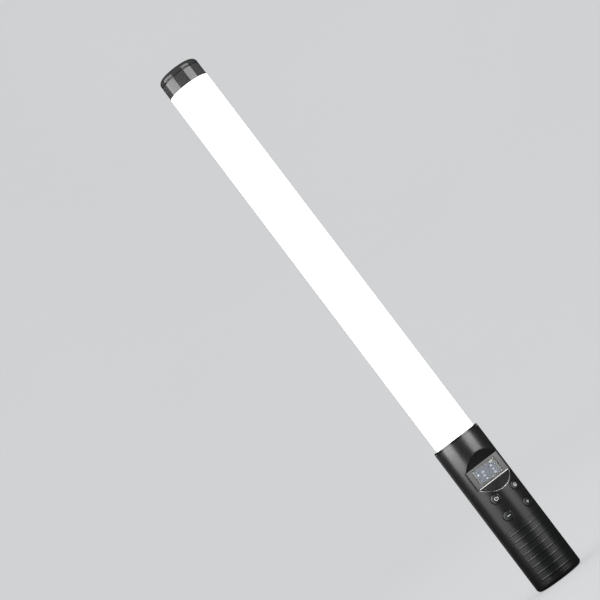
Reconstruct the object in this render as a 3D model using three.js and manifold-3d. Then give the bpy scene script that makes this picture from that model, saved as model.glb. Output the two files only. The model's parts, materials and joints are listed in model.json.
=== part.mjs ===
// A hand-held LED light tube: a round handle with a display and four keys, and a long milky tube that glows.
// Millimetres, +Z up. The origin is the centre of the butt's flat end face. The tube's axis is Z, and the display faces -Y.
import * as THREE from "three";
import { mergeVertices } from "three/addons/utils/BufferGeometryUtils.js";
import Module from "manifold-3d";

const wasm = await Module();
wasm.setup();

// Driving dimensions
const TOTAL_LENGTH = 520;
const HANDLE_LENGTH = 140;
const HANDLE_RADIUS = 21.5;
const TUBE_RADIUS = 18.4;
const TIP_CAP_LENGTH = 18;
const WALL = 2.2; // handle shells
const TUBE_WALL = 1.6;
const GAP = 0.3; // between a piece and the seat that it sits in
const ROUND = 36; // segments of a full turn on the large round pieces
const SMALL_ROUND = 10; // and on posts and holes
const KEY_ROUND = 20; // and on the keys

// Handle shells
const CAVITY_RADIUS = HANDLE_RADIUS - WALL;
const PARTING = 0.1; // half the gap between the front and rear shell
const SHELL_BOTTOM = 4.1;
const COLLAR_BOTTOM = HANDLE_LENGTH - 1.6;
const SHELL_TOP = COLLAR_BOTTOM - 0.2;

// Display recess: a flat that faces -Y, with a ramp above it and one below it
const FLAT_Y = -14.4;
const FLAT_BOTTOM = 94.6;
const FLAT_TOP = 112.5;
const RAMP_LENGTH = 9.3; // along Z, where the ramps reach the round surface
const BEZEL_THICK = 1.2;
const FLOOR_THICK = 1.5;
const WINDOW_WIDTH = 23.6;
const WINDOW_HEIGHT = 12.8;
const WINDOW_Z = 104;

// Keys, which all travel along +Y
const KEY_RADIUS = 4;
const KEY_X = 10;
const KEY_UPPER_Z = 82;
const KEY_LOWER_Z = 65.3;
const KEY_PROUD = 0.7;
const KEY_TRAVEL = 0.6;
const SWITCH_THICK = 2;
const PLUNGER_PROUD = 0.6;

// Main board, in the XZ plane behind the display and the keys
const BOARD_FRONT_Y = -10.4;
const BOARD_THICK = 1.6;
const BOARD_BOTTOM = 56;
const BOARD_TOP = 117;
const BOARD_HALF_WIDTH = 13;
const BOARD_POST_Z = [58.5, 89];

// Battery: two cells side by side
const CELL_RADIUS = 9.1;
const CELL_LENGTH = 64.6;
const CELL_X = 9.25;
const CELL_Y = 2;
const CELL_BOTTOM = 17.6;

// Charging port at the back
const PORT_Z = 97;
const PORT_HALF_WIDTH = 6.3;
const PORT_HALF_HEIGHT = 3.6;
const PORT_FLOOR_Y = 14;
const FLAP_HALF_WIDTH = 7.5;
const FLAP_HALF_HEIGHT = 5;
const FLAP_THICK = 1.3;
const FLAP_AXIS_Y = 20.6;
const FLAP_AXIS_Z = PORT_Z + FLAP_HALF_HEIGHT + 0.9;

// Grip pads, front and back
const PAD_THICK = 1;
const FRONT_PAD = { turn: -90, halfAngle: 60, bottom: 6.3, top: 54.7, ribs: 8 };
const REAR_PAD = { turn: 90, halfAngle: 40, bottom: 18.4, top: 54.7, ribs: 6 };
const RIB_PITCH = 6.07;
const RIB_WIDTH = 1.3;
const RIB_PROUD = 0.5;
const RIBS_BELOW_MIDDLE = 0.9;

// Shell screws, from the back
const LOWER_SCREW = { x: 13, z: 12 };
const UPPER_SCREW = { x: 15.5, z: 106 };

// Light tube
const TUBE_BOTTOM = HANDLE_LENGTH - 13.5;
const TUBE_TOP = TOTAL_LENGTH - TIP_CAP_LENGTH;
const SPINE_CORNER = 11; // from the axis to a corner of the triangular spine
const SPINE_WALL = 1;
const SPINE_BOTTOM = 128;
const SPINE_TOP = 488;
const LED_BOARD_WIDTH = 12;
const LED_COUNT = 16;
const PLUG_RADIUS = TUBE_RADIUS - TUBE_WALL - GAP; // of the pieces that plug into the tube

const black = (roughness) => new THREE.MeshStandardMaterial({ color: 0x1b1c1e, roughness, metalness: 0 });
const metal = (color, roughness) => new THREE.MeshStandardMaterial({ color, roughness, metalness: 1 });
const plain = (color, roughness) => new THREE.MeshStandardMaterial({ color, roughness, metalness: 0 });
const MATERIALS = {
  shell: black(0.45),
  gloss: black(0.15),
  grip: black(0.8),
  key: black(0.7),
  cap: black(0.25),
  rubber: plain(0x101010, 0.9),
  chrome: metal(0xd8dadc, 0.15),
  steel: metal(0x9a9c9e, 0.35),
  brass: metal(0xb89a4e, 0.3),
  aluminium: metal(0xc4c6c8, 0.4),
  lens: plain(0x22262a, 0.05),
  panel: plain(0x0a0c12, 0.2),
  board: plain(0x14532d, 0.5),
  ledBoard: plain(0xf2f2ee, 0.5),
  diffuser: new THREE.MeshStandardMaterial({ color: 0xffffff, roughness: 0.4, emissive: 0xffffff }),
  cell: plain(0x2f6fb0, 0.4),
  nickel: metal(0xb8b6ae, 0.3),
  plastic: plain(0x2a2c2f, 0.6),
  wire: plain(0x8c1f1f, 0.5),
};

// ---- Solids: a three.js geometry as a manifold-3d solid, and back ----

function solid(geometry) {
  const bare = geometry.index ? geometry.toNonIndexed() : geometry.clone();
  bare.deleteAttribute("normal");
  bare.deleteAttribute("uv");
  const merged = mergeVertices(bare, 1e-4);
  return new wasm.Manifold(
    new wasm.Mesh({
      numProp: 3,
      vertProperties: merged.attributes.position.array,
      triVerts: new Uint32Array(merged.index.array),
    }),
  );
}

function geometryOf(made) {
  const mesh = made.getMesh();
  const geometry = new THREE.BufferGeometry();
  geometry.setAttribute("position", new THREE.BufferAttribute(mesh.vertProperties, mesh.numProp));
  geometry.setIndex(new THREE.BufferAttribute(mesh.triVerts, 1));
  return geometry;
}

const union = (pieces) => pieces.reduce((sum, piece) => sum.add(piece));

function box(x0, x1, y0, y1, z0, z1) {
  const geometry = new THREE.BoxGeometry(x1 - x0, y1 - y0, z1 - z0);
  return solid(geometry.translate((x0 + x1) / 2, (y0 + y1) / 2, (z0 + z1) / 2));
}

// A round bar along Z, from z0 to z1
function barZ(radius, z0, z1, segments = ROUND, x = 0, y = 0) {
  const geometry = new THREE.CylinderGeometry(radius, radius, z1 - z0, segments);
  return solid(geometry.rotateX(Math.PI / 2).translate(x, y, (z0 + z1) / 2));
}

// A round bar along Y, from y0 to y1
function barY(radius, y0, y1, x, z, segments = SMALL_ROUND) {
  const geometry = new THREE.CylinderGeometry(radius, radius, y1 - y0, segments);
  return solid(geometry.translate(x, (y0 + y1) / 2, z));
}

// A round bar along X, from x0 to x1
function barX(radius, x0, x1, y, z, segments = SMALL_ROUND) {
  const geometry = new THREE.CylinderGeometry(radius, radius, x1 - x0, segments);
  return solid(geometry.rotateZ(Math.PI / 2).translate((x0 + x1) / 2, y, z));
}

const ring = (outer, inner, z0, z1) => barZ(outer, z0, z1).subtract(barZ(inner, z0 - 1, z1 + 1));

// A closed profile of [radius, z] points, counterclockwise, turned about Z
function turned(profile, segments = ROUND) {
  const points = [...profile, profile[0]].map(([r, z]) => new THREE.Vector2(r, z));
  return solid(new THREE.LatheGeometry(points, segments).rotateX(Math.PI / 2));
}

// A profile of [y, z] points extruded along X
function prismX(profile, x0, x1) {
  const shape = new THREE.Shape(profile.map(([y, z]) => new THREE.Vector2(y, z)));
  const geometry = new THREE.ExtrudeGeometry(shape, { depth: x1 - x0, bevelEnabled: false });
  const turn = new THREE.Matrix4().set(0, 0, 1, x0, 1, 0, 0, 0, 0, 1, 0, 0, 0, 0, 0, 1);
  return solid(geometry.applyMatrix4(turn));
}

// A shape in the XY plane extruded from z0 to z1
function prismZ(shape, z0, z1, curveSegments = 12) {
  const geometry = new THREE.ExtrudeGeometry(shape, { depth: z1 - z0, bevelEnabled: false, curveSegments });
  return solid(geometry.translate(0, 0, z0));
}

const radians = THREE.MathUtils.degToRad;

// Part of a ring about Z, centred on the angle turn, in degrees
function ringSector(outer, inner, turn, halfAngle, z0, z1) {
  const steps = Math.round((halfAngle * ROUND) / 180);
  const shape = new THREE.Shape();
  for (let i = 0; i <= steps; i++) {
    const a = radians(turn - halfAngle + (2 * halfAngle * i) / steps);
    shape[i ? "lineTo" : "moveTo"](outer * Math.cos(a), outer * Math.sin(a));
  }
  for (let i = steps; i >= 0; i--) {
    const a = radians(turn - halfAngle + (2 * halfAngle * i) / steps);
    shape.lineTo(inner * Math.cos(a), inner * Math.sin(a));
  }
  return prismZ(shape, z0, z1);
}

// A round section swept along a smooth curve through the points
function cable(points, radius, steps, sides = 8) {
  const path = new THREE.CatmullRomCurve3(points.map((p) => new THREE.Vector3(...p)));
  const section = new THREE.Shape();
  for (let i = 0; i < sides; i++) {
    const a = (2 * Math.PI * i) / sides;
    section[i ? "lineTo" : "moveTo"](radius * Math.cos(a), radius * Math.sin(a));
  }
  return solid(new THREE.ExtrudeGeometry(section, { extrudePath: path, steps, bevelEnabled: false }));
}

// ---- Display recess and what sits in it ----

// The recess's profile in the YZ plane, moved out of the material by depth
function recessProfile(depth = 0) {
  const reach = 3; // past the round surface
  const rise = HANDLE_RADIUS + FLAT_Y; // from the flat to the round surface
  const slope = RAMP_LENGTH / rise;
  const shift = depth * (Math.hypot(1, slope) - slope); // keeps the ramps the same distance off
  const far = rise + reach;
  return [
    [FLAT_Y + depth, FLAT_BOTTOM - shift],
    [FLAT_Y + depth, FLAT_TOP + shift],
    [FLAT_Y - far, FLAT_TOP + shift + slope * (far + depth)],
    [FLAT_Y - far, FLAT_BOTTOM - shift - slope * (far + depth)],
  ];
}

const recess = (depth) => prismX(recessProfile(depth), -30, 30);

function bezelSeat() {
  return box(-30, 30, FLAT_Y - 0.01, FLAT_Y + BEZEL_THICK, FLAT_BOTTOM, FLAT_TOP);
}

function displayBezel() {
  const margin = 0.15;
  const plate = box(-20, 20, FLAT_Y, FLAT_Y + BEZEL_THICK - 0.05, FLAT_BOTTOM + 1.5, FLAT_TOP - margin);
  const opening = box(
    -WINDOW_WIDTH / 2,
    WINDOW_WIDTH / 2,
    FLAT_Y - 1,
    FLAT_Y + BEZEL_THICK + 1,
    WINDOW_Z - WINDOW_HEIGHT / 2,
    WINDOW_Z + WINDOW_HEIGHT / 2,
  );
  return plate.intersect(barZ(HANDLE_RADIUS - 0.1, 90, 120)).subtract(opening);
}

function displayLens() {
  const halfWidth = WINDOW_WIDTH / 2 - 0.15;
  const halfHeight = WINDOW_HEIGHT / 2 - 0.15;
  const front = FLAT_Y + 0.1;
  return box(-halfWidth, halfWidth, front, front + 0.9, WINDOW_Z - halfHeight, WINDOW_Z + halfHeight);
}

const PANEL_HALF_WIDTH = 13;
const PANEL_HALF_HEIGHT = 7.4;

function displayPanel(grow = 0, y0 = FLAT_Y + BEZEL_THICK + 0.1, y1 = y0 + 1.2) {
  const halfWidth = PANEL_HALF_WIDTH + grow;
  const halfHeight = PANEL_HALF_HEIGHT + grow;
  return box(-halfWidth, halfWidth, y0, y1, WINDOW_Z - halfHeight, WINDOW_Z + halfHeight);
}

// A bright bar under the display, and an arc from its ends round the lower ramp's edge
function displayTrim(grow = 0) {
  const barTop = FLAT_BOTTOM + 1.1;
  const bar = box(-20, 20, FLAT_Y - 0.5 - grow, FLAT_Y + 1 + grow, FLAT_BOTTOM + 0.1 - grow, barTop + grow);
  const points = [];
  const slope = RAMP_LENGTH / (HANDLE_RADIUS + FLAT_Y);
  for (let i = 0; i <= 16; i++) {
    const a = radians(-46 + (92 * i) / 16);
    const out = HANDLE_RADIUS * Math.cos(a);
    points.push([HANDLE_RADIUS * Math.sin(a), -out, FLAT_BOTTOM + 0.6 - slope * (out + FLAT_Y)]);
  }
  const arc = cable(points, 0.55 + grow, 20, 6);
  return bar.intersect(barZ(HANDLE_RADIUS - 0.2 + grow, FLAT_BOTTOM - 4, FLAT_BOTTOM + 4)).add(arc);
}

// ---- Handle shells ----

function shellOuter() {
  const chamfer = 0.3;
  return turned([
    [0, SHELL_BOTTOM],
    [HANDLE_RADIUS, SHELL_BOTTOM],
    [HANDLE_RADIUS, SHELL_TOP - chamfer],
    [HANDLE_RADIUS - chamfer, SHELL_TOP],
    [0, SHELL_TOP],
  ]);
}

// The inside, from the butt cap's groove up to the seat of the tube
function shellInside() {
  return turned([
    [0, SHELL_BOTTOM - 1],
    [17.5, SHELL_BOTTOM - 1],
    [17.5, 6],
    [CAVITY_RADIUS, 6],
    [CAVITY_RADIUS, 121.8],
    [18, 121.8],
    [18, 123],
    [CAVITY_RADIUS, 123],
    [CAVITY_RADIUS, 126.4],
    [TUBE_RADIUS + GAP, 126.4],
    [TUBE_RADIUS + GAP, 130.4],
    [20.2, 130.4],
    [20.2, 133],
    [TUBE_RADIUS + GAP, 133],
    [TUBE_RADIUS + GAP, SHELL_TOP + 1],
    [0, SHELL_TOP + 1],
  ]);
}

const padSeat = (pad) =>
  ringSector(
    HANDLE_RADIUS + 5,
    HANDLE_RADIUS - PAD_THICK - 0.1,
    pad.turn,
    pad.halfAngle + 0.6,
    pad.bottom - 0.25,
    pad.top + 0.25,
  );

const keyPlaces = [
  ["power_key", -KEY_X, KEY_UPPER_Z],
  ["mode_key", KEY_X, KEY_UPPER_Z],
  ["down_key", -KEY_X, KEY_LOWER_Z],
  ["up_key", KEY_X, KEY_LOWER_Z],
];

const screwPlaces = [LOWER_SCREW, UPPER_SCREW].flatMap(({ x, z }) => [
  [-x, z],
  [x, z],
]);

function frontShell() {
  const inside = shellInside().subtract(recess(FLOOR_THICK)).subtract(seatFloor());
  const posts = BOARD_POST_Z.map((z) => barY(2.2, -20.5, BOARD_FRONT_Y - 0.1, 0, z));
  const bosses = screwPlaces.map(([x, z]) => barY(2.4, -17, -PARTING, x, z).intersect(barZ(20.5, 0, 140)));
  const holes = [
    ...keyPlaces.map(([, x, z]) => barY(KEY_RADIUS + GAP, -30, -8, x, z, KEY_ROUND)),
    ...BOARD_POST_Z.map((z) => barY(1, -16.5, 0, 0, z)),
    ...screwPlaces.map(([x, z]) => barY(1.2, -10, 1, x, z)),
  ];
  const wall = shellOuter().subtract(inside).intersect(box(-30, 30, -30, -PARTING, 0, 150));
  return union([wall, ...posts, ...bosses])
    .subtract(recess(0))
    .subtract(bezelSeat())
    .subtract(displayPanel(0.3, FLAT_Y, FLAT_Y + 6))
    .subtract(displayTrim(0.15))
    .subtract(padSeat(FRONT_PAD))
    .subtract(union(holes));
}

// The floor that the display's bezel sits on
function seatFloor() {
  const y1 = FLAT_Y + BEZEL_THICK + FLOOR_THICK;
  return box(-30, 30, -25, y1, FLAT_BOTTOM - FLOOR_THICK, FLAT_TOP + FLOOR_THICK);
}

const portBox = (grow, y0, y1) =>
  box(
    -PORT_HALF_WIDTH - grow,
    PORT_HALF_WIDTH + grow,
    y0,
    y1,
    PORT_Z - PORT_HALF_HEIGHT - grow,
    PORT_Z + PORT_HALF_HEIGHT + grow,
  );

// The shallow seat that the flap closes into, with its hinge groove
function flapSeat() {
  const around = 0.25;
  const halfAngle = THREE.MathUtils.radToDeg(Math.asin(FLAP_HALF_WIDTH / HANDLE_RADIUS)) + 0.8;
  const bottom = PORT_Z - FLAP_HALF_HEIGHT - around;
  const seat = ringSector(30, HANDLE_RADIUS - FLAP_THICK - 0.2, 90, halfAngle, bottom, PORT_Z + FLAP_HALF_HEIGHT);
  const groove = barX(1.2, -3.3, 3.3, FLAP_AXIS_Y, FLAP_AXIS_Z).add(
    box(-3.3, 3.3, FLAP_AXIS_Y, 30, PORT_Z, FLAP_AXIS_Z + 1.2),
  );
  return seat.add(groove);
}

function rearShell() {
  const rearHalf = box(-30, 30, PARTING, 30, 0, 150);
  const wall = shellOuter().subtract(shellInside());
  const inCylinder = barZ(HANDLE_RADIUS - 0.3, 5, 130);
  const bosses = screwPlaces.map(([x, z]) => barY(3.3, PARTING, 20, x, z).intersect(inCylinder));
  const tunnel = portBox(1.2, PORT_FLOOR_Y - 1, 21).intersect(inCylinder);
  const holes = screwPlaces.flatMap(([x, z]) => [barY(2.5, 7, 30, x, z), barY(1.4, -1, 8, x, z)]);
  const receptacle = box(-4.8, 4.8, 9, 20, PORT_Z - 1.9, PORT_Z + 1.9);
  return union([wall, ...bosses, tunnel])
    .intersect(rearHalf)
    .subtract(portBox(0, PORT_FLOOR_Y, 30))
    .subtract(receptacle)
    .subtract(flapSeat())
    .subtract(padSeat(REAR_PAD))
    .subtract(union(holes));
}

function gripPad(pad) {
  const outer = HANDLE_RADIUS - 0.05;
  const sheet = ringSector(outer, HANDLE_RADIUS - PAD_THICK, pad.turn, pad.halfAngle, pad.bottom, pad.top);
  const firstRib = (pad.bottom + pad.top - (pad.ribs - 1) * RIB_PITCH) / 2 - RIBS_BELOW_MIDDLE;
  const ribs = [];
  for (let i = 0; i < pad.ribs; i++) {
    const z = firstRib + i * RIB_PITCH;
    const halfAngle = pad.halfAngle - 3;
    const z0 = z - RIB_WIDTH / 2;
    ribs.push(ringSector(outer + RIB_PROUD, outer - 0.3, pad.turn, halfAngle, z0, z0 + RIB_WIDTH));
  }
  return union([sheet, ...ribs]);
}

function buttCap() {
  const fillet = 3.5;
  const corner = [];
  for (let i = 0; i <= 4; i++) {
    const a = radians(-90 + 22.5 * i);
    const r = HANDLE_RADIUS - fillet + fillet * Math.cos(a);
    corner.push([r, fillet + fillet * Math.sin(a)]);
  }
  return turned([
    [5.3, 0],
    ...corner,
    [HANDLE_RADIUS, 4],
    [17.2, 4],
    [17.2, 6.2],
    [19, 6.2],
    [19, 8.2],
    [8, 8.2],
    [8, 11],
    [5.3, 11],
  ]);
}

// A blind socket for a 1/4 inch tripod screw
function tripodInsert() {
  return turned(
    [
      [3.2, 0.4],
      [5, 0.4],
      [5, 10.8],
      [0, 10.8],
      [0, 9.8],
      [3.2, 9.8],
    ],
    24,
  );
}

function tubeCollar() {
  return turned([
    [TUBE_RADIUS + 0.2, COLLAR_BOTTOM],
    [HANDLE_RADIUS - 0.1, COLLAR_BOTTOM],
    [HANDLE_RADIUS - 0.1, HANDLE_LENGTH - 0.8],
    [HANDLE_RADIUS - 0.9, HANDLE_LENGTH],
    [TUBE_RADIUS + 0.2, HANDLE_LENGTH],
  ]);
}

// ---- Keys, switches and boards ----

const keyStemY = BOARD_FRONT_Y - 0.05 - SWITCH_THICK - PLUNGER_PROUD - GAP;

// A key at its own place: a cap that follows the round surface, a flange inside the shell and a stem
function key(x, z) {
  const cap = barY(KEY_RADIUS, -30, -14, x, z, KEY_ROUND)
    .intersect(barZ(HANDLE_RADIUS + KEY_PROUD, z - 10, z + 10))
    .subtract(barZ(18.2, z - 10, z + 10));
  const flange = barY(KEY_RADIUS + 0.9, -30, 0, x, z, KEY_ROUND)
    .intersect(barZ(18.9, z - 10, z + 10))
    .subtract(barZ(17.9, z - 10, z + 10))
    .intersect(box(-30, 30, -30, keyStemY, z - 10, z + 10));
  const stem = barY(1.5, -17.5, keyStemY, x, z);
  return union([cap, flange, stem]);
}

// A switch's case, with the well that its plunger moves in
function switchCase() {
  return box(-2.3, 2.3, -SWITCH_THICK, 0, -2.3, 2.3).subtract(barY(1.35, -5, -0.3, 0, 0));
}

// A switch's plunger, which moves with its key
function switchPlunger() {
  const bottom = -0.3 - KEY_TRAVEL - 0.2;
  return barY(1, -SWITCH_THICK - PLUNGER_PROUD, bottom, 0, 0);
}

function mainBoard() {
  const y0 = BOARD_FRONT_Y;
  const plate = box(-BOARD_HALF_WIDTH, BOARD_HALF_WIDTH, y0, y0 + BOARD_THICK, BOARD_BOTTOM, BOARD_TOP);
  const holes = BOARD_POST_Z.map((z) => barY(1.2, y0 - 1, y0 + 3, 0, z, 10));
  const chip = box(-9, -2, y0 + BOARD_THICK - 0.1, y0 + BOARD_THICK + 1, 92, 99);
  const coil = box(3, 8, y0 + BOARD_THICK - 0.1, y0 + BOARD_THICK + 1.4, 88, 93);
  return union([plate, chip, coil]).subtract(union(holes));
}

const harnessPlug = () => box(-11, -5, BOARD_FRONT_Y + BOARD_THICK + 0.05, -6, 105, 110);

function chargeBoard() {
  const y1 = PORT_FLOOR_Y - 2.9;
  const plate = box(-9, 9, y1 - 1.5, y1, 88, 108);
  const chip = box(-7, -3, y1 - 2.5, y1 - 1.4, 90, 94);
  return plate.add(chip);
}

function usbPort() {
  const back = PORT_FLOOR_Y - 2.8;
  const shellBox = box(-4.5, 4.5, back, PORT_FLOOR_Y, PORT_Z - 1.6, PORT_Z + 1.6);
  const mouth = box(-4.1, 4.1, back + 0.8, 20, PORT_Z - 1.2, PORT_Z + 1.2);
  const tongue = box(-3.4, 3.4, back + 0.6, PORT_FLOOR_Y - 0.4, PORT_Z - 0.4, PORT_Z + 0.4);
  return shellBox.subtract(mouth).add(tongue);
}

function portFlap() {
  const halfAngle = THREE.MathUtils.radToDeg(Math.asin(FLAP_HALF_WIDTH / HANDLE_RADIUS));
  const bottom = PORT_Z - FLAP_HALF_HEIGHT;
  const top = PORT_Z + FLAP_HALF_HEIGHT - 0.3;
  const plate = ringSector(HANDLE_RADIUS - 0.05, HANDLE_RADIUS - FLAP_THICK, 90, halfAngle, bottom, top);
  const barrel = barX(0.85, -3, 3, FLAP_AXIS_Y, FLAP_AXIS_Z);
  const neck = box(-3, 3, FLAP_AXIS_Y - 0.35, FLAP_AXIS_Y + 0.5, top - 0.5, FLAP_AXIS_Z);
  const pull = box(-2.5, 2.5, HANDLE_RADIUS - 0.6, HANDLE_RADIUS + 0.5, bottom + 0.4, bottom + 1.4);
  return union([plate, barrel, neck, pull]);
}

// ---- Battery ----

function batteryCell() {
  const shoulder = 0.5;
  const button = 0.3;
  return turned(
    [
      [0, 0],
      [CELL_RADIUS, 0],
      [CELL_RADIUS, CELL_LENGTH - shoulder - button],
      [CELL_RADIUS - shoulder, CELL_LENGTH - button],
      [3, CELL_LENGTH - button],
      [3, CELL_LENGTH],
      [0, CELL_LENGTH],
    ],
    24,
  );
}

const cellTop = CELL_BOTTOM + CELL_LENGTH;
const pairOfBars = (radius, z0, z1) =>
  barZ(radius, z0, z1, 24, -CELL_X, CELL_Y).add(barZ(radius, z0, z1, 24, CELL_X, CELL_Y));

// A tray behind the two cells, with an end wall below and above them
function batteryCradle() {
  const wall = 1.3;
  const room = 0.5; // at each end, for the tabs
  return pairOfBars(CELL_RADIUS + wall, CELL_BOTTOM - room - wall, cellTop + room + wall)
    .subtract(pairOfBars(CELL_RADIUS + 0.2, CELL_BOTTOM - room, cellTop + room))
    .intersect(barZ(CAVITY_RADIUS - 0.2, 0, 100))
    .intersect(box(-30, 30, CELL_Y + 2.5, 30, 0, 100));
}

const batteryTab = (z0) => box(-CELL_X - 2, CELL_X + 2, -1.5, 2.5, z0, z0 + 0.35);

// ---- Light tube ----

function tubeSocket() {
  const flange = barZ(19, 123.3, 126.2);
  const plug = barZ(PLUG_RADIUS, 126, 127.8);
  const core = prismZ(triangle(SPINE_CORNER - 2 * SPINE_WALL - 0.6), 127, 134);
  return union([flange, plug, core]).subtract(barZ(2.3, 120, 140, 16));
}

// A triangle about the axis, with its flat sides facing -Y and 120 degrees to either side
function triangle(corner) {
  const shape = new THREE.Shape();
  for (let i = 0; i < 3; i++) {
    const a = radians(90 + 120 * i);
    shape[i ? "lineTo" : "moveTo"](corner * Math.cos(a), corner * Math.sin(a));
  }
  return shape;
}

function ledSpine() {
  const inner = triangle(SPINE_CORNER - 2 * SPINE_WALL);
  return prismZ(triangle(SPINE_CORNER), SPINE_BOTTOM, SPINE_TOP).subtract(prismZ(inner, 0, 600));
}

// A board with a row of LEDs, against the spine's -Y side
function ledBoard() {
  const face = -SPINE_CORNER / 2 - 0.1;
  const y1 = face - 1;
  const z0 = SPINE_BOTTOM + 8;
  const z1 = SPINE_TOP - 4;
  const plate = box(-LED_BOARD_WIDTH / 2, LED_BOARD_WIDTH / 2, y1, face, z0, z1);
  const pitch = (z1 - z0) / LED_COUNT;
  const leds = [];
  for (let i = 0; i < LED_COUNT; i++) {
    const z = z0 + (i + 0.5) * pitch;
    leds.push(box(-1.6, 1.6, y1 - 0.8, y1 + 0.1, z - 1.6, z + 1.6));
  }
  return union([plate, ...leds]);
}

// A disc that centres the top of the spine in the tube
function spinePlate() {
  const disc = barZ(PLUG_RADIUS, SPINE_TOP + 0.1, SPINE_TOP + 2.1);
  const key = prismZ(triangle(SPINE_CORNER - 2 * SPINE_WALL - 0.6), SPINE_TOP - 6, SPINE_TOP + 1);
  return disc.add(key);
}

const CAP_BOTTOM = TUBE_TOP + 0.1;
const CAP_TOP = TOTAL_LENGTH - 6.4;

function tipCap() {
  return turned([
    [14, 492],
    [PLUG_RADIUS, 492],
    [PLUG_RADIUS, 495.8],
    [15.1, 495.8],
    [15.1, 498.3],
    [PLUG_RADIUS, 498.3],
    [PLUG_RADIUS, CAP_BOTTOM],
    [TUBE_RADIUS, CAP_BOTTOM],
    [TUBE_RADIUS, CAP_TOP - 0.4],
    [TUBE_RADIUS - 0.4, CAP_TOP],
    [TUBE_RADIUS - 1.2, CAP_TOP],
    [TUBE_RADIUS - 1.2, CAP_TOP + 0.7],
    [1.7, CAP_TOP + 0.7],
    [1.7, CAP_TOP - 2.4],
    [14, CAP_TOP - 2.4],
  ]);
}

function tipDome() {
  const bottom = CAP_TOP + 0.8;
  const straight = bottom + 1.2;
  const crown = 13.2; // radius of the flat end face
  const curve = [];
  for (let i = 0; i <= 4; i++) {
    const a = radians(22.5 * i);
    const r = crown + (TUBE_RADIUS - crown) * Math.cos(a);
    curve.push([r, straight + (TOTAL_LENGTH - straight) * Math.sin(a)]);
  }
  return turned([
    [1.2, bottom],
    [TUBE_RADIUS - 0.4, bottom],
    [TUBE_RADIUS, bottom + 0.4],
    ...curve,
    [0, TOTAL_LENGTH],
    [0, TOTAL_LENGTH - 2],
    [1.2, TOTAL_LENGTH - 2],
  ]);
}

// A rubber ring with a six-sided section
function seal(inner, outer, z0, z1) {
  const middle = (inner + outer) / 2;
  const cut = (z1 - z0) / 4;
  return turned([
    [inner, z0 + cut],
    [middle, z0],
    [outer, z0 + cut],
    [outer, z1 - cut],
    [middle, z1],
    [inner, z1 - cut],
  ]);
}

// A pan-head screw along Z, with its head up: the head's underside is at z = 0
function screw(headRadius, headHeight, shankRadius, length) {
  const body = turned(
    [
      [0, -length],
      [shankRadius, -length + shankRadius],
      [shankRadius, 0],
      [headRadius, 0],
      [headRadius, headHeight * 0.6],
      [headRadius * 0.7, headHeight],
      [0, headHeight],
    ],
    SMALL_ROUND,
  );
  const slot = headRadius * 0.55;
  const thin = headRadius * 0.12;
  const deep = headHeight * 0.45;
  return body
    .subtract(box(-slot, slot, -thin, thin, deep, headHeight + 1))
    .subtract(box(-thin, thin, -slot, slot, deep, headHeight + 1));
}

// ---- The assembly ----

const wand = new THREE.Group();
const handle = new THREE.Group();
const display = new THREE.Group();
const electronics = new THREE.Group();
const battery = new THREE.Group();
const keys = new THREE.Group();
const port = new THREE.Group();
const light = new THREE.Group();
wand.add(handle, light);
handle.add(display, electronics, battery, keys, port);

function place(group, name, made, material, position = [0, 0, 0], rotation = [0, 0, 0]) {
  const mesh = new THREE.Mesh(geometryOf(made), material);
  mesh.name = name;
  mesh.position.set(...position);
  mesh.rotation.set(...rotation.map(radians));
  group.add(mesh);
}

place(handle, "front_shell", frontShell(), MATERIALS.shell);
place(handle, "rear_shell", rearShell(), MATERIALS.shell);
place(handle, "butt_cap", buttCap(), MATERIALS.shell);
place(handle, "tripod_insert", tripodInsert(), MATERIALS.brass);
place(handle, "tube_collar", tubeCollar(), MATERIALS.gloss);
place(handle, "front_grip_pad", gripPad(FRONT_PAD), MATERIALS.grip);
place(handle, "rear_grip_pad", gripPad(REAR_PAD), MATERIALS.grip);
screwPlaces.forEach(([x, z], i) => {
  place(handle, `shell_screw_${i + 1}`, screw(2.2, 1.6, 1, 14), MATERIALS.steel, [x, 7.1, z], [-90, 0, 0]);
});

place(display, "display_bezel", displayBezel(), MATERIALS.gloss);
place(display, "display_lens", displayLens(), MATERIALS.lens);
place(display, "display_panel", displayPanel(), MATERIALS.panel);
place(display, "display_trim", displayTrim(), MATERIALS.chrome);

keyPlaces.forEach(([name, x, z], i) => {
  place(keys, name, key(x, z), MATERIALS.key);
  const onBoard = [x, BOARD_FRONT_Y - 0.05, z];
  place(electronics, `key_switch_${i + 1}`, switchCase(), MATERIALS.plastic, onBoard);
  place(electronics, `key_plunger_${i + 1}`, switchPlunger(), MATERIALS.lens, onBoard);
});
place(electronics, "main_board", mainBoard(), MATERIALS.board);
BOARD_POST_Z.forEach((z, i) => {
  const y = BOARD_FRONT_Y + BOARD_THICK + 0.05;
  place(electronics, `board_screw_${i + 1}`, screw(1.9, 1.2, 0.9, 5), MATERIALS.steel, [0, y, z], [-90, 0, 0]);
});
place(electronics, "harness_plug", harnessPlug(), MATERIALS.plastic);
place(
  electronics,
  "led_harness",
  cable(
    [
      [-8, -5.6, 110.5],
      [-7, -4.5, 114],
      [-3, -1.6, 118],
      [0, 0, 122.5],
      [0, 0, 130],
      [0, 0, 144],
    ],
    1.4,
    20,
  ),
  MATERIALS.wire,
);
place(
  electronics,
  "battery_lead",
  cable(
    [
      [5, 0, 84.2],
      [6, -1, 88],
      [9, -4, 94],
      [10, -6.8, 101],
      [10, -7.8, 106],
    ],
    0.8,
    14,
    6,
  ),
  MATERIALS.wire,
);

place(port, "charge_board", chargeBoard(), MATERIALS.board);
place(port, "usb_port", usbPort(), MATERIALS.steel);
place(port, "port_flap", portFlap(), MATERIALS.rubber);

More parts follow.
